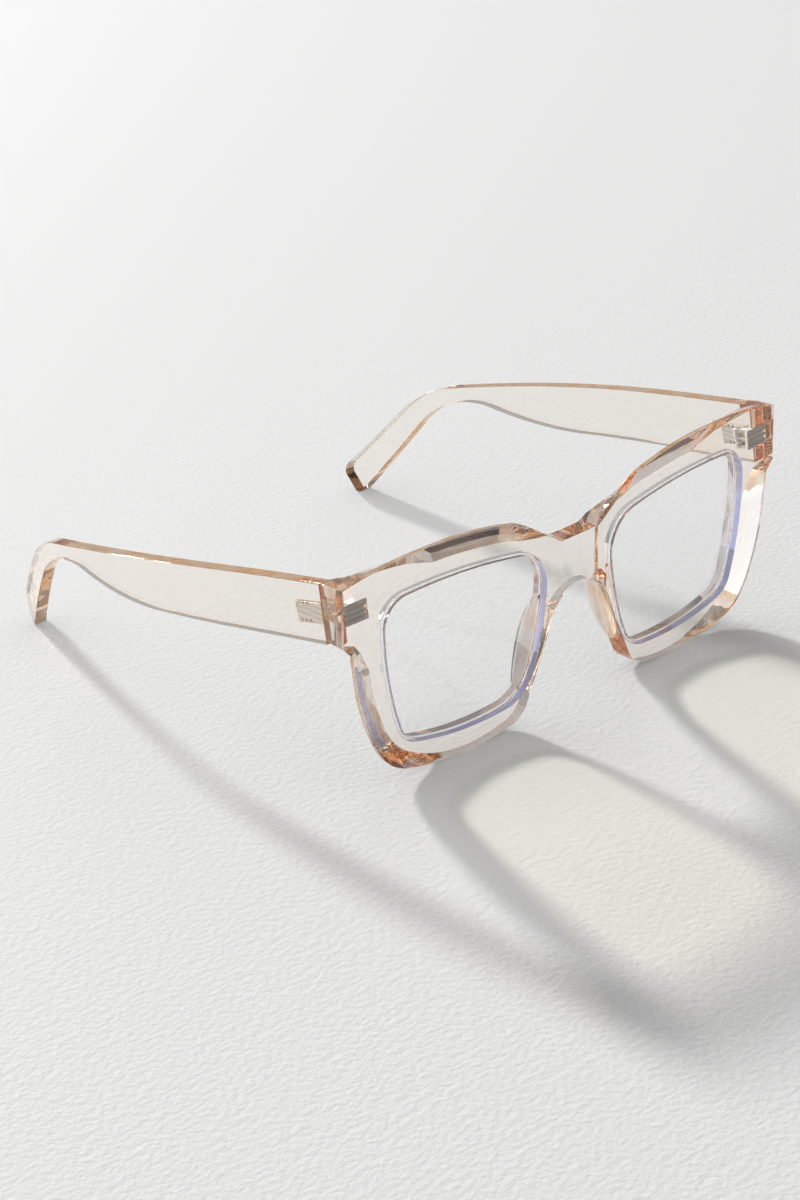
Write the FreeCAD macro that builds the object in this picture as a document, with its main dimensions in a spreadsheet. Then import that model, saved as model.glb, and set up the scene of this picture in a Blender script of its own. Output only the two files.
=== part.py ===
"""Square full-rim spectacles with two folding temples.

Row frame: X across the face (+X is the wearer's left), Y from the front
towards the temple tips, Z up. The frame stands on the bottoms of its rims and
on its temple tips, with the floor at Z = 0. Millimetres and degrees.

The front is drawn as its +X half in a flat frame of its own: u runs outwards
along X, v runs up along Z and depth runs back along Y from the front face. The
-X half and its sub-parts are mirror images.
"""
import FreeCAD, Part
import math
import os

import Sketcher

doc = FreeCAD.newDocument("spectacles")
sheet = doc.addObject("Spreadsheet::Sheet", "dims")

# Driving dimensions. A point called NAME has the cells NAME_u and NAME_v.
DIMENSIONS = {
    # Stance of the front: how far each half is turned back at the bridge, and
    # how far the whole front leans forward at the top.
    "wrap_angle": 2.8,
    "lean_angle": 2.9,
    # Depth of the front, and of the straight edge ahead of its rear bevel.
    "front_depth": 5.5,
    "front_lip": 1.2,
    # Lens and its groove.
    "lens_radius": 330.0,
    "lens_thickness": 1.6,
    "lens_setback": 1.1,
    "lens_lip": 0.6,
    "lens_gap": 0.06,
    "lens_centre_u": 36.0,
    "lens_centre_v": 26.5,
    "corner_radius_nose": 10.0,
    "corner_radius_outer": 7.0,
    # Recessed panel on the front of the bridge.
    "panel_half_width": 5.3,
    "panel_recess": 0.8,
    # Moulded nose pads: half sizes across, along depth and up the nose.
    "pad_half_width": 2.6,
    "pad_half_depth": 4.3,
    "pad_half_length": 12.5,
    "pad_centre_u": 13.4,
    "pad_centre_v": 19.5,
    "pad_centre_depth": 4.5,
    "pad_slant": 21.0,
    # Temples: how far they drop towards the tips, how thick they are, where
    # their outer face starts and the gap they leave behind the front.
    "temple_pitch": 10.75,
    "temple_thickness": 3.6,
    "temple_outer": 72.4,
    "temple_top_v": 53.61,
    "butt_gap": 0.15,
    # Joint plane behind the end piece: its depth at the bottom of the end piece,
    # how far it leans back, and the end block that reaches back to it and drops
    # in line with the temple.
    "joint_depth": 5.9,
    "joint_tilt": 8.5,
    "block_start_u": 62.5,
    "block_end_u": 69.3,
    "block_length": 6.0,
    "block_drop": 13.6,
    "block_root": 0.2,
    # Where the hinge axis crosses the front's own frame.
    "hinge_u": 67.3,
    "hinge_v": 44.6,
    "hinge_depth": 9.5,
    # Five hinge knuckles, three on the front and two on the temple.
    "knuckle_radius": 1.25,
    "knuckle_pitch": 1.0,
    "knuckle_gap": 0.08,
    "arm_half": 0.9,
    "arm_root": 0.5,
    # Leaves, measured from the hinge axis, and the gap around them.
    "front_leaf_in": 2.9,
    "front_leaf_out": 4.0,
    "front_leaf_near": 4.8,
    "front_leaf_far": 6.6,
    "temple_leaf_near": 1.7,
    "temple_leaf_far": 3.6,
    "temple_leaf_fore": 1.2,
    "temple_leaf_aft": 7.4,
    "barb_width": 0.7,
    "barb_depth": 0.8,
    "barb_spacing": 1.5,
    "embed_gap": 0.05,
    # Hinge screw.
    "screw_radius": 0.6,
    "screw_bore_radius": 0.65,
    "screw_relief": 0.1,
    "head_radius": 0.95,
    "head_bore_radius": 1.0,
    "head_height": 0.5,
    "slot_width": 0.3,
    "slot_depth": 0.25,
    # Forms that only shape other solids: how far they run past what they cut,
    # and the width and height of the two that a temple is cut from.
    "overrun": 5.0,
    "side_form_width": 70.0,
    "plan_form_height": 120.0,
}

# Outline of the +X half of the front, clockwise from the top of the bridge.
FRONT_POINTS = {
    "saddle_mid": (0.0, 43.9),
    "saddle_end": (4.6, 43.9),
    "saddle_via": (6.2, 44.25),
    "slope_low": (7.6, 45.05),
    "slope_top": (15.6, 50.5),
    "shoulder_via": (18.0, 52.0),
    "brow_in": (20.8, 53.3),
    "brow_via": (32.5, 55.4),
    "brow_out": (45.0, 56.1),
    "brow_fade": (51.5, 56.0),
    "end_via": (62.5, 55.15),
    "end_top": (72.5, 53.4),
    "end_low": (72.5, 38.9),
    "end_root": (70.0, 36.2),
    "side_fade": (69.9, 34.4),
    "side_in": (69.4, 30.2),
    "side_via": (67.8, 20.9),
    "side_out": (65.2, 13.4),
    "toe_via": (63.9, 10.4),
    "toe_in": (62.2, 7.6),
    "corner_via": (58.9, 4.1),
    "corner_out": (54.5, 2.15),
    "base_via": (38.5, 0.0),
    "base_in": (24.0, 1.25),
    "heel_via": (19.7, 3.0),
    "heel_out": (17.4, 6.4),
    "nose_via": (13.3, 15.7),
    "nose_top": (9.6, 24.9),
    "arch_via": (5.9, 29.9),
    "arch_mid": (0.0, 31.8),
}
# The same points where the rear bevel moves them in at the back of the front.
BACK_POINTS = {
    "slope_top": (17.6, 46.9),
    "shoulder_via": (19.4, 47.6),
    "brow_in": (21.4, 48.1),
    "brow_via": (32.6, 49.6),
    "brow_out": (43.6, 50.2),
    "brow_fade": (51.5, 52.4),
    "end_via": (62.5, 53.3),
    "end_top": (72.5, 53.2),
    "end_root": (67.4, 37.2),
    "side_fade": (65.6, 34.8),
    "side_in": (63.2, 29.6),
    "side_via": (62.2, 22.6),
    "side_out": (60.0, 15.4),
    "toe_via": (58.9, 12.4),
    "toe_in": (57.8, 10.3),
    "corner_via": (55.6, 7.3),
    "corner_out": (52.6, 4.8),
}
# Corners of the lens opening and the middle of each bowed side.
OPENING_POINTS = {
    "eye_top_in": (10.8, 42.8),
    "eye_top_via": (35.4, 46.4),
    "eye_top_out": (60.2, 45.8),
    "eye_out_via": (59.7, 27.2),
    "eye_low_out": (54.9, 9.2),
    "eye_low_via": (36.7, 6.1),
    "eye_low_in": (18.4, 7.3),
    "eye_in_via": (12.5, 24.6),
}
# Side outline of a temple: u runs back from the joint and v is up from the
# temple's top front corner, square to the hinge axis.
TEMPLE_POINTS = {
    "root_top": (-3.0, -0.75),
    "spine_via": (54.0, 0.95),
    "bend_in": (107.5, 0.1),
    "bend_via": (115.9, -1.5),
    "bend_out": (122.9, -5.1),
    "tip_in": (141.5, -19.3),
    "tip_via": (142.9, -21.3),
    "tip_out": (142.6, -23.6),
    "tip_end": (141.2, -27.6),
    "heel_tip_via": (140.5, -28.2),
    "heel_tip": (139.5, -27.7),
    "crook_out": (118.5, -9.3),
    "crook_via": (107.3, -4.2),
    "crook_in": (94.8, -5.0),
    "belly_in": (91.4, -6.2),
    "belly_via": (76.0, -10.2),
    "belly_out": (58.2, -12.0),
    "root_low": (-3.0, -15.3),
}
# Plan outline of a temple's outer face: u runs outwards from the face at the
# joint and v runs back along the temple.
PLAN_POINTS = {
    "plan_start": (-0.49, -10.0),
    "plan_straight": (1.75, 35.6),
    "plan_bow_via": (1.65, 69.75),
    "plan_bow": (-2.0, 103.7),
    "plan_tail_via": (-6.74, 123.94),
    "plan_tail": (-18.8, 152.0),
    "plan_far_tail": (-60.0, 152.0),
    "plan_far_start": (-60.0, -10.0),
}

FRONT_PATH = [
    ("line", "saddle_end", None),
    ("arc", "slope_low", "saddle_via"),
    ("line", "slope_top", None),
    ("arc", "brow_in", "shoulder_via"),
    ("arc", "brow_out", "brow_via"),
    ("line", "brow_fade", None),
    ("arc", "end_top", "end_via"),
    ("line", "end_low", None),
    ("line", "end_root", None),
    ("line", "side_fade", None),
    ("line", "side_in", None),
    ("arc", "side_out", "side_via"),
    ("arc", "toe_in", "toe_via"),
    ("arc", "corner_out", "corner_via"),
    ("arc", "base_in", "base_via"),
    ("arc", "heel_out", "heel_via"),
    ("arc", "nose_top", "nose_via"),
    ("arc", "arch_mid", "arch_via"),
    ("line", "saddle_mid", None),
]
OPENING_PATH = [
    ("arc", "eye_top_out", "eye_top_via"),
    ("arc", "eye_low_out", "eye_out_via"),
    ("arc", "eye_low_in", "eye_low_via"),
    ("arc", "eye_top_in", "eye_in_via"),
]
CORNER_RADII = {
    "eye_top_in": "corner_radius_nose",
    "eye_low_in": "corner_radius_nose",
    "eye_top_out": "corner_radius_outer",
    "eye_low_out": "corner_radius_outer",
}
PLAN_PATH = [
    ("line", "plan_straight", None),
    ("arc", "plan_bow", "plan_bow_via"),
    ("arc", "plan_tail", "plan_tail_via"),
    ("line", "plan_far_tail", None),
    ("line", "plan_far_start", None),
    ("line", "plan_start", None),
]
TEMPLE_PATH = [
    ("arc", "bend_in", "spine_via"),
    ("arc", "bend_out", "bend_via"),
    ("line", "tip_in", None),
    ("arc", "tip_out", "tip_via"),
    ("line", "tip_end", None),
    ("arc", "heel_tip", "heel_tip_via"),
    ("line", "crook_out", None),
    ("arc", "crook_in", "crook_via"),
    ("line", "belly_in", None),
    ("arc", "belly_out", "belly_via"),
    ("line", "root_low", None),
    ("line", "root_top", None),
]


def fill_sheet():
    """Write every driving dimension to the sheet under its alias."""
    cells = dict(DIMENSIONS)
    for points, suffix in (
        (FRONT_POINTS, ""),
        (BACK_POINTS, "_back"),
        (OPENING_POINTS, ""),
        (TEMPLE_POINTS, ""),
        (PLAN_POINTS, ""),
    ):
        for name, (across, up) in points.items():
            cells[name + suffix + "_u"] = across
            cells[name + suffix + "_v"] = up
    for row, (alias, number) in enumerate(cells.items(), start=1):
        sheet.set("A%d" % row, alias)
        sheet.set("B%d" % row, str(number))
        sheet.setAlias("B%d" % row, alias)
    doc.recompute()


def dim(alias):
    """A driving dimension's value, for code that sets a plain number."""
    return float(sheet.get(alias))


def bind(item, path, expression):
    """Bind a property to the sheet; each @NAME stands for a cell."""
    item.setExpression(path, expression.replace("@", "dims."))


def origin_plane(body, role):
    """The body's own origin plane with this role."""
    for feature in body.Origin.OriginFeatures:
        if feature.Role == role:
            return feature
    raise ValueError(role)


def pin(sketch, geometry, position, name):
    """Hold a sketch point at the cells NAME_u and NAME_v."""
    for kind, axis in (("DistanceX", "u"), ("DistanceY", "v")):
        alias = "%s_%s" % (name, axis)
        index = sketch.addConstraint(
            Sketcher.Constraint(kind, geometry, position, dim(alias))
        )
        bind(sketch, "Constraints[%d]" % index, "@" + alias)


def draw_path(sketch, path, bevelled=()):
    """Draw a closed outline of lines and three-point arcs, pinned to cells."""
    def cell(name):
        return name + "_back" if name in bevelled else name

    def place(name):
        return FreeCAD.Vector(dim(cell(name) + "_u"), dim(cell(name) + "_v"), 0)

    start = path[-1][1]
    loop = []
    for kind, end, via in path:
        head = 1
        if kind == "line":
            edge = Part.LineSegment(place(start), place(end))
        else:
            ends = [place(start), place(end)]
            middle = place(via)
            if (middle - ends[0]).cross(ends[1] - middle).z < 0:
                # A sketch arc runs anticlockwise, so this one starts at its far end.
                ends.reverse()
                head = 2
            edge = Part.Arc(ends[0], middle, ends[1])
        loop.append((sketch.addGeometry(edge), head, start, via))
        start = end
    for step, (index, head, begin, via) in enumerate(loop):
        following, next_head = loop[(step + 1) % len(loop)][:2]
        tail = 3 - head
        sketch.addConstraint(Sketcher.Constraint("Coincident", index, tail, following, next_head))
        pin(sketch, index, head, cell(begin))
        if via:
            point = sketch.addGeometry(Part.Point(place(via)), True)
            pin(sketch, point, 1, cell(via))
            sketch.addConstraint(Sketcher.Constraint("PointOnObject", point, 1, index))


def upright_sketch(name, depth="0"):
    """A sketch outside any body, facing forwards, at a depth behind the face."""
    sketch = doc.addObject("Sketcher::SketchObject", name)
    turn = FreeCAD.Rotation(FreeCAD.Vector(1, 0, 0), 90)
    sketch.Placement = FreeCAD.Placement(FreeCAD.Vector(), turn)
    bind(sketch, "Placement.Base.y", depth)
    return sketch


def box(name, low, high):
    """A Part::Box between two corners; each coordinate is an expression."""
    item = doc.addObject("Part::Box", name)
    for size, axis, near, far in zip(("Length", "Width", "Height"), "xyz", low, high):
        bind(item, size, "(%s) - (%s)" % (far, near))
        bind(item, "Placement.Base." + axis, near)
    return item


def cylinder(name, radius, base, top, x="0", y="0"):
    """An upright Part::Cylinder from base to top; sizes are expressions."""
    item = doc.addObject("Part::Cylinder", name)
    bind(item, "Radius", radius)
    bind(item, "Height", "(%s) - (%s)" % (top, base))
    for axis, place in zip("xyz", (x, y, base)):
        bind(item, "Placement.Base." + axis, place)
    return item


def fuse(name, items):
    """Join solids into one."""
    item = doc.addObject("Part::MultiFuse", name)
    item.Shapes = items
    return item


def group(name, items):
    """Several items as one, so that they can be placed together."""
    item = doc.addObject("Part::Compound", name)
    item.Links = items
    return item


def cut(name, base, tool):
    """Take one solid away from another."""
    item = doc.addObject("Part::Cut", name)
    item.Base = base
    item.Tool = tool
    return item


def common(name, first, second):
    """Keep what two solids share."""
    item = doc.addObject("Part::MultiCommon", name)
    item.Shapes = [first, second]
    return item


def mirrored(name, source):
    """The left-right mirror image of a solid."""
    item = doc.addObject("Part::Mirroring", name)
    item.Source = source
    item.Normal = FreeCAD.Vector(1, 0, 0)
    return item


def circle_through(points):
    """Centre and radius of the circle through three points."""
    circle = Part.Circle(*points)
    return circle.Center, circle.Radius


def rounded_corner(first, second, corner, radius):
    """Centre of a circle that touches two circles from inside, near a corner."""
    (centre_a, radius_a), (centre_b, radius_b) = first, second
    reach_a = radius_a - radius
    reach_b = radius_b - radius
    across = centre_b - centre_a
    span = across.Length
    along = (reach_a ** 2 - reach_b ** 2 + span ** 2) / (2 * span)
    aside = math.sqrt(reach_a ** 2 - along ** 2)
    direction = across * (1 / span)
    square = FreeCAD.Vector(-direction.y, direction.x, 0)
    choices = [centre_a + direction * along + square * (sign * aside) for sign in (1, -1)]
    return min(choices, key=corner.distanceToPoint)


def opening_sketch():
    """The +X lens opening: four bowed sides joined by rounded corners."""
    def place(name):
        return FreeCAD.Vector(dim(name + "_u"), dim(name + "_v"), 0)

    sketch = upright_sketch("opening_outline")
    names = [OPENING_PATH[-1][1]] + [end for kind, end, via in OPENING_PATH]
    circles = [
        circle_through((place(names[side]), place(via), place(end)))
        for side, (kind, end, via) in enumerate(OPENING_PATH)
    ]
    touches = []
    for side, (kind, end, via) in enumerate(OPENING_PATH):
        following = circles[(side + 1) % len(circles)]
        radius = dim(CORNER_RADII[end])
        centre = rounded_corner(circles[side], following, place(end), radius)
        meets = [
            middle + (centre - middle).normalize() * reach
            for middle, reach in (circles[side], following)
        ]
        nearest = centre + (place(end) - centre).normalize() * radius
        touches.append((meets[0], nearest, meets[1]))
    # Every arc is drawn anticlockwise, so each starts where the path ends.
    sides = []
    corners = []
    for side, (kind, end, via) in enumerate(OPENING_PATH):
        before = touches[side - 1][2]
        sides.append(sketch.addGeometry(Part.Arc(touches[side][0], place(via), before)))
        corners.append(sketch.addGeometry(Part.Arc(*reversed(touches[side]))))
    marks = {}
    for name in names[1:] + [via for kind, end, via in OPENING_PATH]:
        marks[name] = sketch.addGeometry(Part.Point(place(name)), True)
        pin(sketch, marks[name], 1, name)
    for side, (kind, end, via) in enumerate(OPENING_PATH):
        for name in (names[side], via, end):
            mark = marks[name]
            sketch.addConstraint(Sketcher.Constraint("PointOnObject", mark, 1, sides[side]))
        ahead = sides[(side + 1) % len(sides)]
        corner = corners[side]
        sketch.addConstraint(Sketcher.Constraint("Tangent", corner, 2, sides[side], 1))
        sketch.addConstraint(Sketcher.Constraint("Tangent", corner, 1, ahead, 2))
        index = sketch.addConstraint(
            Sketcher.Constraint("Radius", corner, dim(CORNER_RADII[end]))
        )
        bind(sketch, "Constraints[%d]" % index, "@" + CORNER_RADII[end])
    return sketch


def opening_prism(name, outline, growth=None):
    """A prism on the opening's outline, moved out by the growth if given."""
    source = outline
    if growth:
        source = doc.addObject("Part::Offset2D", name + "_outline")
        source.Source = outline
        source.Join = 2
        bind(source, "Value", growth)
    prism = doc.addObject("Part::Extrusion", name)
    prism.Base = source
    prism.DirMode = "Custom"
    prism.Dir = FreeCAD.Vector(0, 1, 0)
    prism.Solid = True
    bind(prism, "LengthFwd", "3 * @front_depth")
    bind(prism, "LengthRev", "@front_depth")
    return prism


def lens_shell(name, slack):
    """A thin spherical shell, convex to the front, thicker by the slack."""
    shapes = []
    for side, radius in (
        ("outer", "@lens_radius + %s" % slack),
        ("inner", "@lens_radius - @lens_thickness - %s" % slack),
    ):
        ball = doc.addObject("Part::Sphere", "%s_%s" % (name, side))
        bind(ball, "Radius", radius)
        bind(ball, "Placement.Base.x", "@lens_centre_u")
        bind(ball, "Placement.Base.y", "@lens_setback + @lens_radius")
        bind(ball, "Placement.Base.z", "@lens_centre_v")
        shapes.append(ball)
    return cut(name, *shapes)


def half_rim():
    """The +X half of the front before its lens opening is cut: rim, end block."""
    face = upright_sketch("rim_face")
    draw_path(face, FRONT_PATH)
    lip = upright_sketch("rim_lip", "@front_lip")
    draw_path(lip, FRONT_PATH)
    back = upright_sketch("rim_back", "@front_depth")
    draw_path(back, FRONT_PATH, BACK_POINTS)
    loft = doc.addObject("Part::Loft", "rim_blank")
    loft.Sections = [face, lip, back]
    loft.Solid = True
    loft.Ruled = True
    return [loft, end_block(back)]


def tilted(item):
    """Lean an item back with the joint plane, about the end piece's bottom."""
    lean = FreeCAD.Rotation(FreeCAD.Vector(1, 0, 0), -dim("joint_tilt"))
    item.Placement = FreeCAD.Placement(FreeCAD.Vector(), lean)
    bind(item, "Placement.Base.y", "@joint_depth")
    bind(item, "Placement.Base.z", "@end_low_v")
    return item


def end_block(back):
    """What the end piece has behind the rim's depth, up to the joint plane."""
    reach = doc.addObject("Part::Extrusion", "end_reach")
    reach.Base = back
    reach.DirMode = "Custom"
    drop = FreeCAD.Rotation(FreeCAD.Vector(1, 0, 0), -dim("block_drop"))
    reach.Dir = drop.multVec(FreeCAD.Vector(0, 1, 0))
    reach.Solid = True
    bind(reach, "LengthFwd", "@front_depth")
    bind(reach, "LengthRev", "@block_root")
    ramp = tilted(doc.addObject("Part::Wedge", "end_ramp"))
    ramp.Ymax = 0
    bind(ramp, "Ymin", "-@block_length")
    bind(ramp, "Xmin", "@block_start_u")
    bind(ramp, "X2min", "@block_end_u")
    for side in ("Xmax", "X2max"):
        bind(ramp, side, "@end_top_u + @overrun")
    ramp.Zmin = 0
    ramp.Z2min = 0
    for high in ("Zmax", "Z2max"):
        bind(ramp, high, "@end_top_v - @end_low_v + @block_length")
    return common("end_block", reach, ramp)


def nose_pad():
    """A smooth pad behind the nose side of the +X rim."""
    pad = doc.addObject("Part::Ellipsoid", "nose_pad")
    bind(pad, "Radius1", "@pad_half_length")
    bind(pad, "Radius2", "@pad_half_width")
    bind(pad, "Radius3", "@pad_half_depth")
    pad.Angle1 = -90
    pad.Angle2 = 90
    slant = FreeCAD.Rotation(FreeCAD.Vector(0, 1, 0), -dim("pad_slant"))
    pad.Placement = FreeCAD.Placement(FreeCAD.Vector(), slant)
    bind(pad, "Placement.Base.x", "@pad_centre_u")
    bind(pad, "Placement.Base.y", "@pad_centre_depth")
    bind(pad, "Placement.Base.z", "@pad_centre_v")
    return pad


def padded(name, plane, path, length):
    """A body with one outline padded both ways from one of its planes."""
    body = doc.addObject("PartDesign::Body", name)
    sketch = body.newObject("Sketcher::SketchObject", name + "_outline")
    sketch.AttachmentSupport = (origin_plane(body, plane), [""])
    sketch.MapMode = "FlatFace"
    draw_path(sketch, path)
    pad = body.newObject("PartDesign::Pad", name + "_pad")
    pad.Profile = sketch
    pad.Midplane = True
    bind(pad, "Length", length)
    return body


def front_placement(lift=0.0):
    """Where the flat frame of the +X half stands in the row frame."""
    lean = FreeCAD.Rotation(FreeCAD.Vector(1, 0, 0), dim("lean_angle"))
    wrap = FreeCAD.Rotation(FreeCAD.Vector(0, 0, 1), dim("wrap_angle"))
    return FreeCAD.Placement(FreeCAD.Vector(0, 0, lift), lean.multiply(wrap))


def hinged_placement(u, depth, v, lift):
    """A frame at a point of the front whose Y runs back along the temple."""
    place = front_placement(lift).multVec(FreeCAD.Vector(u, depth, v))
    drop = FreeCAD.Rotation(FreeCAD.Vector(1, 0, 0), -dim("temple_pitch"))
    return FreeCAD.Placement(place, drop)


def half_front(outline):
    """The +X half of the front with its pad, lens opening and groove."""
    shell = lens_shell("groove_shell", "@lens_gap")
    groove_form = opening_prism("groove_form", outline, "@lens_lip + @lens_gap")
    tools = [opening_prism("opening", outline), common("groove", groove_form, shell)]
    solid = fuse("padded_rim", half_rim() + [nose_pad()])
    half = cut("open_half", solid, fuse("half_cuts", tools))
    half.Placement = FreeCAD.Placement(
        FreeCAD.Vector(), FreeCAD.Rotation(FreeCAD.Vector(0, 0, 1), dim("wrap_angle"))
    )
    return half


def bridge_panel():
    """The shallow recess across the front of the bridge, with sloped ends."""
    panel = doc.addObject("Part::Wedge", "bridge_panel")
    bind(panel, "Ymin", "-@panel_recess")
    bind(panel, "Ymax", "@panel_recess")
    bind(panel, "Xmin", "-@panel_half_width - 2 * @panel_recess")
    bind(panel, "Xmax", "@panel_half_width + 2 * @panel_recess")
    bind(panel, "X2min", "-@panel_half_width")
    bind(panel, "X2max", "@panel_half_width")
    for low in ("Zmin", "Z2min"):
        bind(panel, low, "@arch_mid_v - 2 * @overrun")
    for high in ("Zmax", "Z2max"):
        bind(panel, high, "@saddle_mid_v + @overrun")
    return panel


def whole_front(half):
    """Both halves joined at the bridge, before the hinge pockets are cut."""
    joined = fuse("joined_front", [half, mirrored("other_half", half)])
    front = cut("plain_front", joined, bridge_panel())
    front.Placement = FreeCAD.Placement(
        FreeCAD.Vector(), FreeCAD.Rotation(FreeCAD.Vector(1, 0, 0), dim("lean_angle"))
    )
    return front


def half_height():
    """Expression for half the height of a hinge's five knuckles."""
    return "2.5 * @knuckle_pitch"


def knuckles(name, levels, arm_low, arm_high):
    """Knuckles on the axis at some of the five levels, each with its arm."""
    solids = []
    for level in levels:
        base = "%s * @knuckle_pitch - (@knuckle_pitch - @knuckle_gap) / 2" % level
        top = "%s * @knuckle_pitch + (@knuckle_pitch - @knuckle_gap) / 2" % level
        label = "%s_%d" % (name, level + 3)
        solids.append(cylinder(label, "@knuckle_radius", base, top))
        solids.append(box(label + "_arm", arm_low + (base,), arm_high + (top,)))
    return solids


def screw_hole(name):
    """The bore through every knuckle and the recess for the screw's head."""
    top = half_height()
    bore = cylinder(name, "@screw_bore_radius", "-" + top, top)
    seat = cylinder(name + "_seat", "@head_bore_radius", top + " - @head_height", top + " + @head_height")
    return fuse(name + "_cut", [bore, seat])


def hinge_front():
    """Front half of a hinge: a barbed leaf sunk in the end piece, 3 knuckles."""
    high = half_height()
    leaf = box(
        "front_leaf",
        ("-@front_leaf_in", "-@front_leaf_far", "-" + high),
        ("@front_leaf_out", "-@front_leaf_near", high),
    )
    solids = knuckles(
        "front_knuckle", (-2, 0, 2),
        ("-@arm_half", "-@front_leaf_near - @arm_root"), ("@arm_half", "0"),
    )
    notches = []
    sides = ("-@front_leaf_in", "@front_leaf_out - @barb_depth")
    for number, side in enumerate(sides, start=1):
        for end in (-1, 1):
            middle = "%d * @barb_spacing / 2" % end
            notches.append(box(
                "front_notch_%d%d" % (number, end + 2),
                (side, "-@front_leaf_far", "%s - @barb_width / 2" % middle),
                (side + " + @barb_depth", "-@front_leaf_near", "%s + @barb_width / 2" % middle),
            ))
    return cut(
        "hinge_front", fuse("front_leaf_solid", [leaf] + solids),
        fuse("front_leaf_cuts", [screw_hole("front_bore")] + notches),
    )


def hinge_temple():
    """Temple half of a hinge: a barbed leaf sunk in the temple, 2 knuckles."""
    high = half_height()
    leaf = box(
        "temple_leaf",
        ("@temple_leaf_near", "-@temple_leaf_fore", "-" + high),
        ("@temple_leaf_far", "@temple_leaf_aft", high),
    )
    solids = knuckles(
        "temple_knuckle", (-1, 1),
        ("0", "-@arm_half"), ("@temple_leaf_near + @arm_root", "@arm_half"),
    )
    notches = []
    for number in range(3):
        back = "@temple_leaf_aft - @barb_width - %d * @barb_spacing" % number
        for side, low, top in (
            ("low", "-" + high, "-%s + @barb_depth" % high),
            ("high", high + " - @barb_depth", high),
        ):
            notches.append(box(
                "temple_notch_%s%d" % (side, number + 1),
                ("@temple_leaf_near", back + " - @barb_width", low),
                ("@temple_leaf_far", back, top),
            ))
    return cut(
        "hinge_temple", fuse("temple_leaf_solid", [leaf] + solids),
        fuse("temple_leaf_cuts", [screw_hole("temple_bore")] + notches),
    )


def hinge_screw():
    """A slotted cheese-head screw that stands on the hinge axis."""
    high = half_height()
    shank = cylinder("screw_shank", "@screw_radius", "@screw_relief - " + high, high + " - @head_height")
    head = cylinder("screw_head", "@head_radius", high + " - @head_height", high)
    slot = box(
        "screw_slot",
        ("-@head_radius", "-@slot_width / 2", high + " - @slot_depth"),
        ("@head_radius", "@slot_width / 2", high + " + @head_height"),
    )
    return cut("hinge_screw", fuse("screw_solid", [shank, head]), slot)


def front_pocket():
    """The space in an end piece that the front leaf and its arms fill."""
    high = half_height() + " + @embed_gap"
    low = "-%s - @embed_gap" % half_height()
    leaf = box(
        "front_leaf_pocket",
        ("-@front_leaf_in - @embed_gap", "-@front_leaf_far - @embed_gap", low),
        ("@front_leaf_out + @embed_gap", "-@front_leaf_near + @embed_gap", high),
    )
    arms = box(
        "front_arm_pocket",
        ("-@arm_half - @embed_gap", "-@front_leaf_near", low),
        ("@arm_half + @embed_gap", "@knuckle_radius", high),
    )
    return fuse("front_pocket", [leaf, arms])


def temple_pocket():
    """The space in a temple that its leaf fills, open on the inner face."""
    high = half_height() + " + @embed_gap"
    low = "-%s - @embed_gap" % half_height()
    leaf = box(
        "temple_leaf_pocket",
        ("0", "-@temple_leaf_fore - @embed_gap", low),
        ("@temple_leaf_far + @embed_gap", "@temple_leaf_aft + @embed_gap", high),
    )
    return group("temple_pocket", [leaf])


def temple_blank():
    """A temple before its front end and its leaf pocket are cut."""
    side = padded("temple_side", "YZ_Plane", TEMPLE_PATH, "@side_form_width")
    plan = padded("temple_plan", "XY_Plane", PLAN_PATH, "@plan_form_height")
    hollow = doc.addObject("Part::Offset", "temple_hollow")
    hollow.Source = plan
    hollow.Join = 2
    bind(hollow, "Value", "-@temple_thickness")
    strip = cut("temple_strip", plan, hollow)
    return common("temple_blank", side, strip)


def placed(item, placement):
    """Set an item's placement and bring its shape up to date."""
    item.Placement = placement
    doc.recompute()
    return item


def ahead_of_joint():
    """The space in front of the joint plane, with the gap behind the front."""
    space = box(
        "joint_space",
        ("@temple_outer / 2", "-5 * @front_depth", "-@end_top_v"),
        ("2 * @temple_outer", "@butt_gap", "@end_top_v"),
    )
    return group("ahead_of_joint", [tilted(group("tilted_space", [space]))])


def lowest(shape):
    """Height of the lowest point of a shape."""
    return shape.optimalBoundingBox(False, False).ZMin


def build():
    """Make every sub-part; returns them by node name."""
    outline = opening_sketch()
    plain = whole_front(half_front(outline))
    doc.recompute()
    lift = -lowest(plain.Shape)
    plain.Placement.Base.z = lift
    stance = front_placement(lift)
    at_hinge = hinged_placement(
        dim("hinge_u"), dim("hinge_depth"), dim("hinge_v"), lift
    )
    at_joint = hinged_placement(
        dim("temple_outer"), dim("front_depth"), dim("temple_top_v"), lift
    )

    pocket = placed(front_pocket(), at_hinge)
    pockets = fuse("both_pockets", [pocket, mirrored("other_pocket", pocket)])
    nodes = {"front_frame": cut("front_frame", plain, pockets)}

    lens_form = opening_prism("lens_form", outline, "@lens_lip")
    lens = placed(common("lens_left", lens_form, lens_shell("lens_shell", "0")), stance)
    blank = placed(temple_blank(), at_joint)
    leaf_space = placed(temple_pocket(), at_hinge)
    ahead = placed(ahead_of_joint(), stance)
    temple_cuts = fuse("temple_cuts", [ahead, leaf_space])
    left = {
        "lens": lens,
        "temple": cut("temple_left", blank, temple_cuts),
        "hinge_front": placed(hinge_front(), at_hinge),
        "hinge_temple": placed(hinge_temple(), at_hinge),
        "hinge_screw": placed(hinge_screw(), at_hinge),
    }
    for name, item in left.items():
        nodes[name + "_left"] = item
        nodes[name + "_right"] = mirrored(name + "_right", item)
    doc.recompute()
    return nodes


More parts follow.
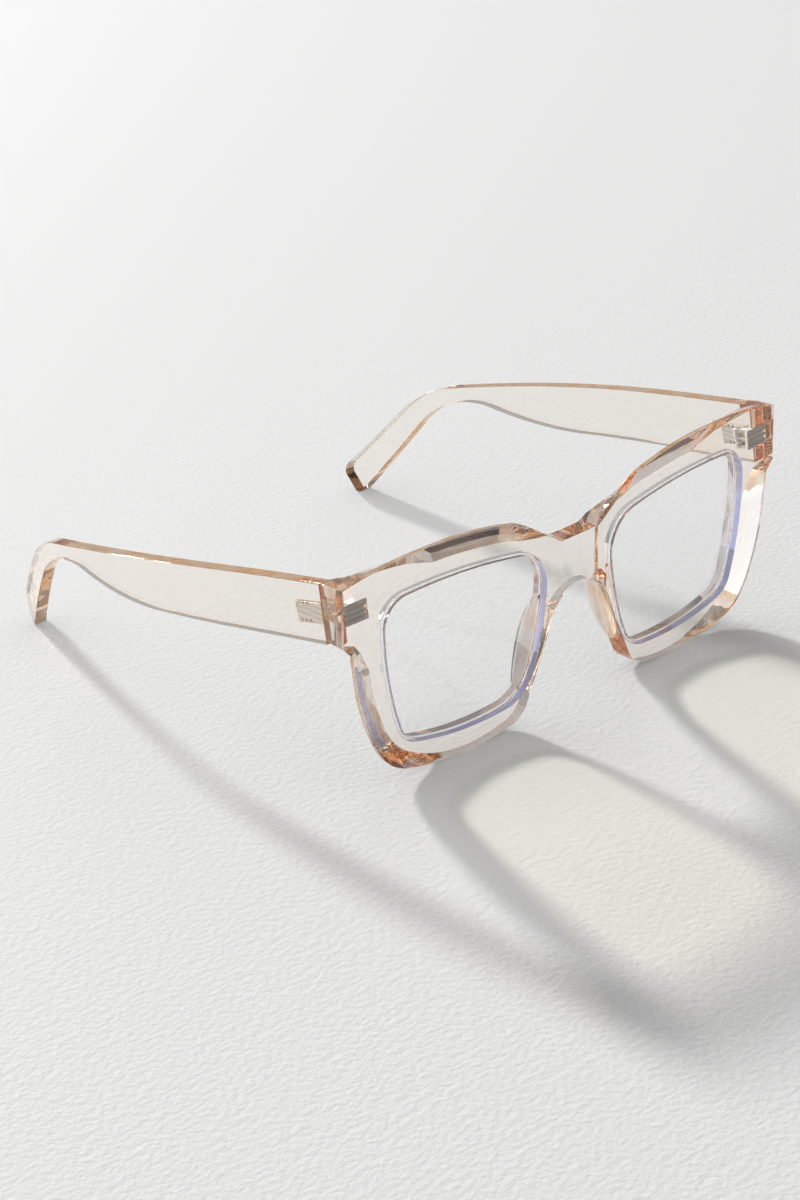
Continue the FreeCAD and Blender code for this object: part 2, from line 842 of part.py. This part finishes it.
def stand_on_origin(nodes):
    """Move every sub-part so the origin is under the middle of the whole."""
    bounds = FreeCAD.BoundBox()
    for item in nodes.values():
        bounds.add(item.Shape.optimalBoundingBox(False, False))
    shift = FreeCAD.Vector(0, -(bounds.YMin + bounds.YMax) / 2, -bounds.ZMin)
    for name, item in nodes.items():
        item.Label = name
        mirror_of_left = name.endswith("_right")
        if not mirror_of_left:
            item.Placement.Base = item.Placement.Base + shift
    doc.recompute()


def export(nodes):
    """Check every object, then write each sub-part to its own STEP file."""
    for item in doc.Objects:
        if "Invalid" in item.State or "Error" in item.State:
            raise RuntimeError("%s is %s" % (item.Name, item.State))
    for name, item in nodes.items():
        if item.Shape.isNull() or not item.Shape.isValid():
            raise RuntimeError(name + " has no valid shape")
    os.makedirs("parts", exist_ok=True)
    for name, item in nodes.items():
        item.Shape.exportStep("parts/%s.step" % name)
        solids = len(item.Shape.Solids)
        print("%-20s %9.2f mm3, %d solid" % (name, item.Shape.Volume, solids))


fill_sheet()
nodes = build()
stand_on_origin(nodes)
export(nodes)
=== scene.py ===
"""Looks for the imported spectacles: clear champagne plastic, coated lenses, metal hinges."""
import math

import bpy
from mathutils import Matrix, Vector


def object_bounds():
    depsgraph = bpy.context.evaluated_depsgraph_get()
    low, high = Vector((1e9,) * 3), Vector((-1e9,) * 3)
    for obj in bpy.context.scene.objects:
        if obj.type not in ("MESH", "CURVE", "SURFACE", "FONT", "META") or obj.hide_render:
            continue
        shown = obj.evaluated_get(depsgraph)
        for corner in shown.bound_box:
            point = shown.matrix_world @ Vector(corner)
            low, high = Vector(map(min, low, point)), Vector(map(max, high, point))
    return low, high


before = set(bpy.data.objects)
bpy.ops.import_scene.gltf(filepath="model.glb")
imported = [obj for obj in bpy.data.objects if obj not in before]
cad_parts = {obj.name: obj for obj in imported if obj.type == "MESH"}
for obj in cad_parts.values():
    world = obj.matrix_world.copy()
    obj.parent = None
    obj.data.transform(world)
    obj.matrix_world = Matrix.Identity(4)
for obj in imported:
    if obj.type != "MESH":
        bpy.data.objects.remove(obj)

CAD_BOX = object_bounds()
MM = 0.001

# Rounding of each material's edges, and what counts as an edge.
FRONT_EDGE = 0.32 * MM
TEMPLE_EDGE = 1.0 * MM
LENS_EDGE = 0.15 * MM
METAL_EDGE = 0.08 * MM
EDGE_STEPS = 3
SHARP_FROM = math.radians(28)
SAME_POINT = 0.001 * MM
SAME_PLANE = math.radians(0.4)
FLAT_WEIGHT = 80

# Telling faces apart. A lens face looks ahead by a cosine above LENS_FACE_ON; an edge
# face of the front or of a temple looks the piece's own way by one below the limit.
# A wall round a lens lies at least LENS_CLEAR from the lens's middle.
LENS_FACE_ON = 0.8
FRONT_EDGE_LIMIT = 0.75
TEMPLE_EDGE_LIMIT = 0.6
LENS_CLEAR = 4.0 * MM

# Clear plastic. The shade is what a lamp's light keeps at each surface.
IOR = 1.5
WHITE = (1.0, 1.0, 1.0)
FRONT_TINT = (0.95, 0.52, 0.05)
FRONT_DENSITY = 18.0
FRONT_SHADE = (0.67, 0.68, 0.69)
TEMPLE_TINT = (0.93, 0.55, 0.0)
TEMPLE_DENSITY = 25.0
TEMPLE_SHADE = (0.74, 0.76, 0.78)
# The cut edges get painted reflection: a deeper amber colour and a mirror, stronger where met
# from inside. The streaks vary this painted amber at random.
PAINTED_EDGE_AMBER = (0.84, 0.52, 0.26)
EDGE_MIRROR = 0.1
FRONT_INNER_MIRROR = 0.3
STREAK_SCALE = 240.0
STREAK_WEAKEST = 0.45
STREAK_START, STREAK_END = 0.42, 0.60
WEAR_SCALE = 900.0
WEAR_LEAST, WEAR_MOST = 0.004, 0.035
RIPPLE_SCALE = 140.0
RIPPLE_STRENGTH = 0.35
RIPPLE_DEPTH = 0.12 * MM

# Painted reflection and shade on the walls round a lens. On the lip before the lens's face:
# the coating's blue as painted reflection, and a dark painted shade where met from inside. On
# the rest: a pale painted mirror.
PAINTED_BLUE_REFLECTION = (0.58, 0.63, 1.0)
PAINTED_LIP_SHADE = (0.30, 0.22, 0.18)
PAINTED_GROOVE_PALE = (0.95, 0.95, 0.97)
GROOVE_MIRROR = 0.3
LIP_MIRROR = 0.7

# Lenses. Their edges carry painted reflection: blue on the sides, amber on top.
LENS_SHADE = (1.0, 0.995, 0.945)
LENS_SPECULAR = 0.2
LENS_SHEEN = (0.75, 0.80, 1.0)
FILM_SCALE = 45.0
FILM_GREEN = (0.985, 1.0, 0.992)
FILM_BLUE = (0.99, 0.995, 1.0)
LENS_FACE_START, LENS_FACE_END = 0.80, 0.95
LENS_TOP_START, LENS_TOP_END = 0.55, 0.9
PAINTED_LENS_TOP_AMBER = (0.88, 0.66, 0.50)
LENS_EDGE_MIRROR = 0.8
LENS_WEAR_SCALE = 600.0
LENS_WEAR_LEAST, LENS_WEAR_MOST = 0.003, 0.02

# Metal. A wave texture of scale 1 has one rib in each WAVE_UNIT metres.
HINGE_GREY = (0.86, 0.84, 0.81)
HINGE_ROUGH = 0.42
HINGE_GRAIN = 900.0
SCREW_GREY = (0.86, 0.85, 0.83)
SCREW_ROUGH = 0.25
SCREW_GRAIN = 1400.0
WAVE_UNIT = 0.314
RIB_SPACING = 1.25 * MM
RIB_WAVINESS = 0.6
# Painted shade: the base colour darkens to this share in the ribs' troughs.
RIB_PAINTED_SHADE = 0.78
BRUSHED_SHARE = 0.4
SMOOTHEST, ROUGHEST = 0.6, 1.5
METAL_STRENGTH = 0.7
METAL_RELIEF = 0.05 * MM

# Floor. Its grain fades between two places along Y.
FLOOR_HALF = 3.0
FLOOR_DARK = (0.815, 0.815, 0.815)
FLOOR_PALE = (0.845, 0.845, 0.85)
FLOOR_ROUGH = 0.7
FLOOR_SPECULAR = 0.25
GRAIN_SCALE = 640.0
SWELL_SCALE = 330.0
SWELL_SHARE = 0.5
FADE_FROM, FADE_TO = -0.15, 0.32
GRAIN_NEAR, GRAIN_FAR = 0.95, 0.04
FLOOR_STRENGTH = 0.38
FLOOR_RELIEF = 0.42 * MM

# Surroundings: brightest towards one azimuth and elevation, darkest opposite it.
SKY_AZIMUTH, SKY_ELEVATION = 165, 45
SKY_STRENGTH = 0.48
SKY_DARKEST = (0.02, 0.02, 0.02)
SKY_BRIGHTEST = (1.0, 1.0, 1.02)
SKY_GREYS = ((0.33, 0.09), (0.55, 0.48))

# Lamps.
SUN_AZIMUTH, SUN_ELEVATION = 166.2, 21.6
SUN_ENERGY = 4.5
SUN_WIDTH = math.radians(5.8)
SUN_COLOUR = (1.0, 0.99, 0.97)
SOFT_PLACE = Vector((0.0, 1.1, 0.6))
SOFT_AIM = Vector((0.35, 0.6, 0.0))
SOFT_WIDTH = 0.6
SOFT_ENERGY = 2.0
SOFT_COLOUR = (0.95, 0.97, 1.0)

# Camera: where it looks, from where, how far, and its tilt about its own axis.
VIEW_TARGET = Vector((-0.02054, -0.03037, 0.022))
VIEW_AZIMUTH = -41.77
VIEW_ELEVATION = 24.23
VIEW_DISTANCE = 0.78083
VIEW_ROLL = -3.71
VIEW_LENS = 96.78
VIEW_NEAREST = 0.01
SENSOR_LONG_SIDE = 36.0

# Bounces a ray may make: many, because it crosses clear plastic again and again.
CLEAR_BOUNCES = 40
MIRROR_BOUNCES = 24


def add_object(name, data):
    """A new object in the scene's own collection."""
    item = bpy.data.objects.new(name, data)
    bpy.context.scene.collection.objects.link(item)
    return item


def direction(azimuth, elevation):
    """Unit vector from the object towards a viewer; azimuth 0 is in front."""
    a, e = math.radians(azimuth), math.radians(elevation)
    return Vector((math.sin(a) * math.cos(e), -math.cos(a) * math.cos(e), math.sin(e)))


def facing(back, roll=0.0):
    """Rotation that looks along -back, with its top upwards, then rolled."""
    right = Vector((0, 0, 1)).cross(back).normalized()
    up = back.cross(right)
    turn = Matrix((right, up, back)).transposed()
    return turn.to_4x4() @ Matrix.Rotation(math.radians(roll), 4, "Z")


# ---------------------------------------------------------------- materials
# The Mix node's colour sockets, which share their names with its other sockets.
MIX_FIRST, MIX_SECOND, MIX_RESULT = 6, 7, 2


class Nodes:
    """Short names for building one material's node tree."""

    def __init__(self, name):
        self.material = bpy.data.materials.new(name)
        self.material.use_nodes = True
        self.tree = self.material.node_tree
        self.tree.nodes.clear()
        self.output = self.add("ShaderNodeOutputMaterial")

    def add(self, kind, **settings):
        node = self.tree.nodes.new(kind)
        for key, value in settings.items():
            setattr(node, key, value)
        return node

    def link(self, source, target):
        self.tree.links.new(source, target)

    def place(self):
        """Coordinates fixed in the object."""
        return self.add("ShaderNodeTexCoord").outputs["Object"]

    def inside(self):
        """1 where the surface is met from inside the solid, otherwise 0."""
        return self.add("ShaderNodeNewGeometry").outputs["Backfacing"]

    def normal(self):
        """The surface's outward direction, fixed in the object, met from either side."""
        turn = self.maths("MULTIPLY_ADD", self.inside(), -2.0, 1.0)
        node = self.add("ShaderNodeVectorMath", operation="SCALE")
        self.link(self.add("ShaderNodeTexCoord").outputs["Normal"], node.inputs[0])
        self.link(turn, node.inputs["Scale"])
        return node.outputs[0]

    def split(self, source):
        """A vector's three parts, by name."""
        node = self.add("ShaderNodeSeparateXYZ")
        self.link(source, node.inputs[0])
        return node.outputs

    def noise(self, scale, detail=3.0, rough=0.5):
        """Noise of about one blotch per 1/scale metres, from 0 to 1."""
        node = self.add("ShaderNodeTexNoise")
        node.inputs["Scale"].default_value = scale
        node.inputs["Detail"].default_value = detail
        node.inputs["Roughness"].default_value = rough
        self.link(self.place(), node.inputs["Vector"])
        return node.outputs["Fac"]

    def spread(self, source, low, high, start=0.0, end=1.0):
        """A value from start to end spread over low to high."""
        node = self.add("ShaderNodeMapRange")
        node.inputs["From Min"].default_value = start
        node.inputs["From Max"].default_value = end
        node.inputs["To Min"].default_value = low
        node.inputs["To Max"].default_value = high
        self.link(source, node.inputs["Value"])
        return node.outputs["Result"]

    def maths(self, operation, *values):
        """A Math node; each value is an output or a fixed number."""
        node = self.add("ShaderNodeMath", operation=operation)
        for socket, value in zip(node.inputs, values):
            if isinstance(value, (int, float)):
                socket.default_value = value
            else:
                self.link(value, socket)
        return node.outputs[0]

    def vector(self, operation, first, second, output="Vector"):
        """A vector node; each value is an output or a fixed vector."""
        node = self.add("ShaderNodeVectorMath", operation=operation)
        for socket, value in zip(node.inputs, (first, second)):
            if isinstance(value, Vector):
                socket.default_value = value
            else:
                self.link(value, socket)
        return node.outputs[output]

    def dot(self, first, second):
        return self.vector("DOT_PRODUCT", first, second, "Value")

    def mix_colour(self, factor, first, second):
        """A colour from first to second; each is an output or a fixed colour."""
        node = self.add("ShaderNodeMix", data_type="RGBA")
        self.link(factor, node.inputs["Factor"])
        for place, colour in ((MIX_FIRST, first), (MIX_SECOND, second)):
            if isinstance(colour, tuple):
                node.inputs[place].default_value = (*colour, 1)
            else:
                self.link(colour, node.inputs[place])
        return node.outputs[MIX_RESULT]

    def bump(self, height, strength, depth):
        node = self.add("ShaderNodeBump")
        node.inputs["Strength"].default_value = strength
        node.inputs["Distance"].default_value = depth
        self.link(height, node.inputs["Height"])
        return node.outputs["Normal"]

    def principled(self, **values):
        """A Principled shader; keywords are its sockets' names with underscores."""
        node = self.add("ShaderNodeBsdfPrincipled")
        for key, value in values.items():
            socket = node.inputs[key.replace("_", " ")]
            socket.default_value = (*value, 1) if isinstance(value, tuple) else value
        return node

    def surface(self, shader):
        self.link(shader, self.output.inputs["Surface"])

    def light_through(self, shader, tint):
        """Send the shader to the surface, but let lamps through with a tint."""
        path = self.add("ShaderNodeLightPath")
        clear = self.add("ShaderNodeBsdfTransparent")
        clear.inputs["Color"].default_value = (*tint, 1)
        mix = self.add("ShaderNodeMixShader")
        self.link(path.outputs["Is Shadow Ray"], mix.inputs["Fac"])
        self.link(shader, mix.inputs[1])
        self.link(clear.outputs[0], mix.inputs[2])
        self.surface(mix.outputs[0])

    def absorb(self, colour, density):
        """Colour the light on its way through the solid."""
        volume = self.add("ShaderNodeVolumeAbsorption")
        volume.inputs["Color"].default_value = (*colour, 1)
        volume.inputs["Density"].default_value = density
        self.link(volume.outputs[0], self.output.inputs["Volume"])


def lens_front():
    """Middle and outward direction of the left lens's front face."""
    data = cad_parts["lens_left"].data
    faces = [face for face in data.polygons if face.normal.y < -LENS_FACE_ON]
    total = sum(face.area for face in faces)
    middle = sum((face.center * face.area for face in faces), Vector()) / total
    ahead = sum((face.normal * face.area for face in faces), Vector()).normalized()
    return middle, ahead


def folded(n, source):
    """A vector with its X turned to the left half, where the lens is measured."""
    turn = n.add("ShaderNodeCombineXYZ")
    turn.inputs["Y"].default_value = 1.0
    turn.inputs["Z"].default_value = 1.0
    n.link(n.maths("SIGN", n.split(n.place())["X"]), turn.inputs["X"])
    return n.vector("MULTIPLY", source, turn.outputs[0])


def front_masks(n):
    """Masks of the front: walls round the lenses, what lies before them, outer edge."""
    middle, ahead = lens_front()
    place = n.vector("SUBTRACT", folded(n, n.place()), middle)
    normal = folded(n, n.normal())
    outward = n.dot(place, n.vector("MULTIPLY", normal, Vector((1.0, 0.0, 1.0))))
    depth = n.dot(place, ahead)
    level = n.maths("ABSOLUTE", n.dot(normal, ahead))
    upright = n.maths("LESS_THAN", level, FRONT_EDGE_LIMIT)
    painted_walls = n.maths("MULTIPLY", upright, n.maths("LESS_THAN", outward, -LENS_CLEAR))
    painted_rim = n.maths("MULTIPLY", upright, n.maths("GREATER_THAN", outward, LENS_CLEAR))
    return painted_walls, n.maths("GREATER_THAN", depth, 0.0), painted_rim


def temple_masks(n):
    """A temple has no lens walls; its rim is every face but its two broad sides."""
    across = n.maths("ABSOLUTE", n.split(n.normal())["X"])
    return None, None, n.maths("LESS_THAN", across, TEMPLE_EDGE_LIMIT)


def clear_plastic(name, tint, density, shade, masks, inner_mirror):
    """Polished clear plastic whose cut edges carry painted reflection: a deeper amber colour
    and a mirror.
    """
    n = Nodes(name)
    shader = n.principled(IOR=IOR, Transmission_Weight=1.0)
    painted_walls, lip, painted_rim = masks(n)
    streaks = n.noise(STREAK_SCALE, detail=4.0)
    streaks = n.spread(streaks, STREAK_WEAKEST, 1.0, STREAK_START, STREAK_END)
    # Painted reflection on the cut edges: amber colour and a mirror.
    colour = n.mix_colour(n.maths("MULTIPLY", painted_rim, streaks), WHITE, PAINTED_EDGE_AMBER)
    mirror = n.maths("MULTIPLY", painted_rim, n.spread(n.inside(), EDGE_MIRROR, inner_mirror))
    # The walls round the lenses get painted reflection, blue and mirrored on the lip, and
    # painted shade on the lip where met from inside.
    if painted_walls:
        painted_lip_colour = n.mix_colour(n.inside(), PAINTED_BLUE_REFLECTION, PAINTED_LIP_SHADE)
        painted_wall_colour = n.mix_colour(lip, PAINTED_GROOVE_PALE, painted_lip_colour)
        colour = n.mix_colour(painted_walls, colour, painted_wall_colour)
        painted_wall_mirror = n.maths("MULTIPLY", painted_walls, n.spread(lip, GROOVE_MIRROR, LIP_MIRROR))
        mirror = n.maths("ADD", mirror, painted_wall_mirror)
    n.link(mirror, shader.inputs["Metallic"])
    n.link(colour, shader.inputs["Base Color"])
    wear = n.noise(WEAR_SCALE, detail=6.0, rough=0.7)
    n.link(n.spread(wear, WEAR_LEAST, WEAR_MOST), shader.inputs["Roughness"])
    ripple = n.noise(RIPPLE_SCALE, detail=2.0)
    n.link(n.bump(ripple, RIPPLE_STRENGTH, RIPPLE_DEPTH), shader.inputs["Normal"])
    n.light_through(shader.outputs[0], shade)
    n.absorb(tint, density)
    return n.material


def lens_material():
    """Near-clear lens whose ground edge carries a painted satin blue-violet reflection,
    painted amber on top.
    """
    n = Nodes("lens_coated")
    shader = n.principled(
        IOR=IOR,
        Transmission_Weight=1.0,
        Specular_IOR_Level=LENS_SPECULAR,
        Specular_Tint=LENS_SHEEN,
    )
    normal = n.split(n.normal())
    forward = n.maths("ABSOLUTE", normal["Y"])
    face = n.spread(forward, 0.0, 1.0, LENS_FACE_START, LENS_FACE_END)
    film = n.mix_colour(n.noise(FILM_SCALE, detail=4.0), FILM_GREEN, FILM_BLUE)
    top = n.spread(normal["Z"], 0.0, 1.0, LENS_TOP_START, LENS_TOP_END)
    # Painted reflection on the lens's edge: the coating's blue, turning amber on the upward
    # faces, with a mirror.
    edge = n.mix_colour(top, PAINTED_BLUE_REFLECTION, PAINTED_LENS_TOP_AMBER)
    n.link(n.mix_colour(face, edge, film), shader.inputs["Base Color"])
    n.link(n.spread(face, LENS_EDGE_MIRROR, 0.0), shader.inputs["Metallic"])
    wear = n.noise(LENS_WEAR_SCALE, detail=5.0)
    n.link(n.spread(wear, LENS_WEAR_LEAST, LENS_WEAR_MOST), shader.inputs["Roughness"])
    n.light_through(shader.outputs[0], LENS_SHADE)
    return n.material


def metal(name, colour, rough, grain):
    """Satin pressed metal with ribs across it, painted shade in the ribs' troughs, and a fine
    brushed grain.
    """
    n = Nodes(name)
    shader = n.principled(Metallic=1.0)
    ribs = n.add("ShaderNodeTexWave", bands_direction="Z", wave_profile="SIN")
    ribs.inputs["Scale"].default_value = WAVE_UNIT / RIB_SPACING
    ribs.inputs["Distortion"].default_value = RIB_WAVINESS
    n.link(n.place(), ribs.inputs["Vector"])
    brushed = n.noise(grain, detail=5.0, rough=0.65)
    satin = n.spread(brushed, rough * SMOOTHEST, rough * ROUGHEST)
    n.link(satin, shader.inputs["Roughness"])
    relief = n.maths("MULTIPLY_ADD", brushed, BRUSHED_SHARE, ribs.outputs["Fac"])
    # Painted shade: the colour darkens in the ribs' troughs, where the relief is low.
    painted_trough_shade = tuple(RIB_PAINTED_SHADE * part for part in colour)
    n.link(n.mix_colour(ribs.outputs["Fac"], painted_trough_shade, colour), shader.inputs["Base Color"])
    n.link(n.bump(relief, METAL_STRENGTH, METAL_RELIEF), shader.inputs["Normal"])
    n.surface(shader.outputs[0])
    return n.material


def floor_material():
    """Matt off-white plaster board whose fine uneven grain fades towards the back."""
    n = Nodes("studio_floor")
    shader = n.principled(Roughness=FLOOR_ROUGH, Specular_IOR_Level=FLOOR_SPECULAR)
    grain = n.noise(GRAIN_SCALE, detail=2.0)
    swell = n.noise(SWELL_SCALE)
    n.link(n.mix_colour(grain, FLOOR_DARK, FLOOR_PALE), shader.inputs["Base Color"])
    back = n.split(n.place())["Y"]
    fade = n.spread(back, GRAIN_NEAR, GRAIN_FAR, FADE_FROM, FADE_TO)
    heights = n.maths("MULTIPLY_ADD", swell, SWELL_SHARE, grain)
    heights = n.maths("MULTIPLY", heights, fade)
    n.link(n.bump(heights, FLOOR_STRENGTH, FLOOR_RELIEF), shader.inputs["Normal"])
    n.surface(shader.outputs[0])
    return n.material


# ------------------------------------------------------------------- pieces
def rounded(item, width):
    """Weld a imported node's mesh and round its sharp edges."""
    weld = item.modifiers.new("weld", "WELD")
    weld.merge_threshold = SAME_POINT
    merge = item.modifiers.new("merge_flat", "DECIMATE")
    merge.decimate_type = "DISSOLVE"
    merge.angle_limit = SAME_PLANE
    edge = item.modifiers.new("round_edges", "BEVEL")
    edge.width = width
    edge.segments = EDGE_STEPS
    edge.limit_method = "ANGLE"
    edge.angle_limit = SHARP_FROM
    edge.use_clamp_overlap = True
    normals = item.modifiers.new("even_normals", "WEIGHTED_NORMAL")
    normals.keep_sharp = False
    normals.weight = FLAT_WEIGHT


def finish_node(name, material, width):
    """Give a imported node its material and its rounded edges."""
    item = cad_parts[name]
    item.data.materials.clear()
    item.data.materials.append(material)
    rounded(item, width)


front_plastic = clear_plastic(
    "champagne_front", FRONT_TINT, FRONT_DENSITY, FRONT_SHADE, front_masks, FRONT_INNER_MIRROR
)
temple_plastic = clear_plastic(
    "champagne_temple", TEMPLE_TINT, TEMPLE_DENSITY, TEMPLE_SHADE, temple_masks, EDGE_MIRROR
)
lens_glass = lens_material()
hinge_metal = metal("hinge_steel", HINGE_GREY, HINGE_ROUGH, HINGE_GRAIN)
screw_metal = metal("screw_steel", SCREW_GREY, SCREW_ROUGH, SCREW_GRAIN)

finish_node("front_frame", front_plastic, FRONT_EDGE)
for side in ("left", "right"):
    finish_node("temple_" + side, temple_plastic, TEMPLE_EDGE)
    finish_node("lens_" + side, lens_glass, LENS_EDGE)
    finish_node("hinge_front_" + side, hinge_metal, METAL_EDGE)
    finish_node("hinge_temple_" + side, hinge_metal, METAL_EDGE)
    finish_node("hinge_screw_" + side, screw_metal, METAL_EDGE)


# -------------------------------------------------------------------- stage
def make_floor():
    """A large flat floor that the object's lowest point stands on."""
    data = bpy.data.meshes.new("floor")
    height = CAD_BOX[0].z
    signs = ((-1, -1), (1, -1), (1, 1), (-1, 1))
    corners = [(x * FLOOR_HALF, y * FLOOR_HALF, height) for x, y in signs]
    data.from_pydata(corners, [], [(0, 1, 2, 3)])
    floor = add_object("floor", data)
    data.materials.append(floor_material())


def make_world():
    """Soft studio surroundings, brightest high up behind the object."""
    world = bpy.data.worlds.new("studio")
    bpy.context.scene.world = world
    world.use_nodes = True
    tree = world.node_tree
    tree.nodes.clear()
    out = tree.nodes.new("ShaderNodeOutputWorld")
    sky = tree.nodes.new("ShaderNodeBackground")
    sky.inputs["Strength"].default_value = SKY_STRENGTH
    place = tree.nodes.new("ShaderNodeTexCoord")
    toward = tree.nodes.new("ShaderNodeVectorMath")
    toward.operation = "DOT_PRODUCT"
    toward.inputs[1].default_value = direction(SKY_AZIMUTH, SKY_ELEVATION)
    spread = tree.nodes.new("ShaderNodeMapRange")
    spread.inputs["From Min"].default_value = -1.0
    ramp = tree.nodes.new("ShaderNodeValToRGB")
    stops = ramp.color_ramp.elements
    stops[0].position, stops[0].color = 0.0, (*SKY_DARKEST, 1)
    stops[1].position, stops[1].color = 1.0, (*SKY_BRIGHTEST, 1)
    for position, grey in SKY_GREYS:
        stops.new(position).color = (grey, grey, grey, 1)
    tree.links.new(place.outputs["Generated"], toward.inputs[0])
    tree.links.new(toward.outputs["Value"], spread.inputs["Value"])
    tree.links.new(spread.outputs["Result"], ramp.inputs["Fac"])
    tree.links.new(ramp.outputs["Color"], sky.inputs["Color"])
    tree.links.new(sky.outputs[0], out.inputs["Surface"])


def make_lights():
    """A low sun-like key light from behind, and a broad soft light."""
    sun = bpy.data.lights.new("key", "SUN")
    sun.energy = SUN_ENERGY
    sun.angle = SUN_WIDTH
    sun.color = SUN_COLOUR
    add_object("key", sun).matrix_world = facing(direction(SUN_AZIMUTH, SUN_ELEVATION))
    soft = bpy.data.lights.new("soft_box", "AREA")
    soft.shape = "DISK"
    soft.size = SOFT_WIDTH
    soft.energy = SOFT_ENERGY
    soft.color = SOFT_COLOUR
    lamp = add_object("soft_box", soft)
    lamp.matrix_world = facing((SOFT_PLACE - SOFT_AIM).normalized())
    lamp.matrix_world.translation = SOFT_PLACE


def make_camera():
    """The photograph's camera, as fitted to the rims and temples."""
    data = bpy.data.cameras.new("camera")
    data.lens = VIEW_LENS
    data.sensor_fit = "VERTICAL"
    data.sensor_height = SENSOR_LONG_SIDE
    data.clip_start = VIEW_NEAREST
    camera = add_object("camera", data)
    back = direction(VIEW_AZIMUTH, VIEW_ELEVATION)
    camera.matrix_world = facing(back, VIEW_ROLL)
    camera.matrix_world.translation = VIEW_TARGET + back * VIEW_DISTANCE
    bpy.context.scene.camera = camera


def set_rays():
    """Plain tones, and rays that go on through many layers of clear plastic.

    Lamps reach the floor through the plastic's own shade, so bent light is off:
    with both, their light on the floor would be counted twice.
    """
    scene = bpy.context.scene
    scene.view_settings.view_transform = "Standard"
    scene.cycles.caustics_refractive = False
    scene.cycles.caustics_reflective = False
    scene.cycles.max_bounces = CLEAR_BOUNCES
    scene.cycles.transmission_bounces = CLEAR_BOUNCES
    scene.cycles.glossy_bounces = MIRROR_BOUNCES
    scene.cycles.transparent_max_bounces = MIRROR_BOUNCES


make_floor()
make_world()
make_lights()
make_camera()
set_rays()
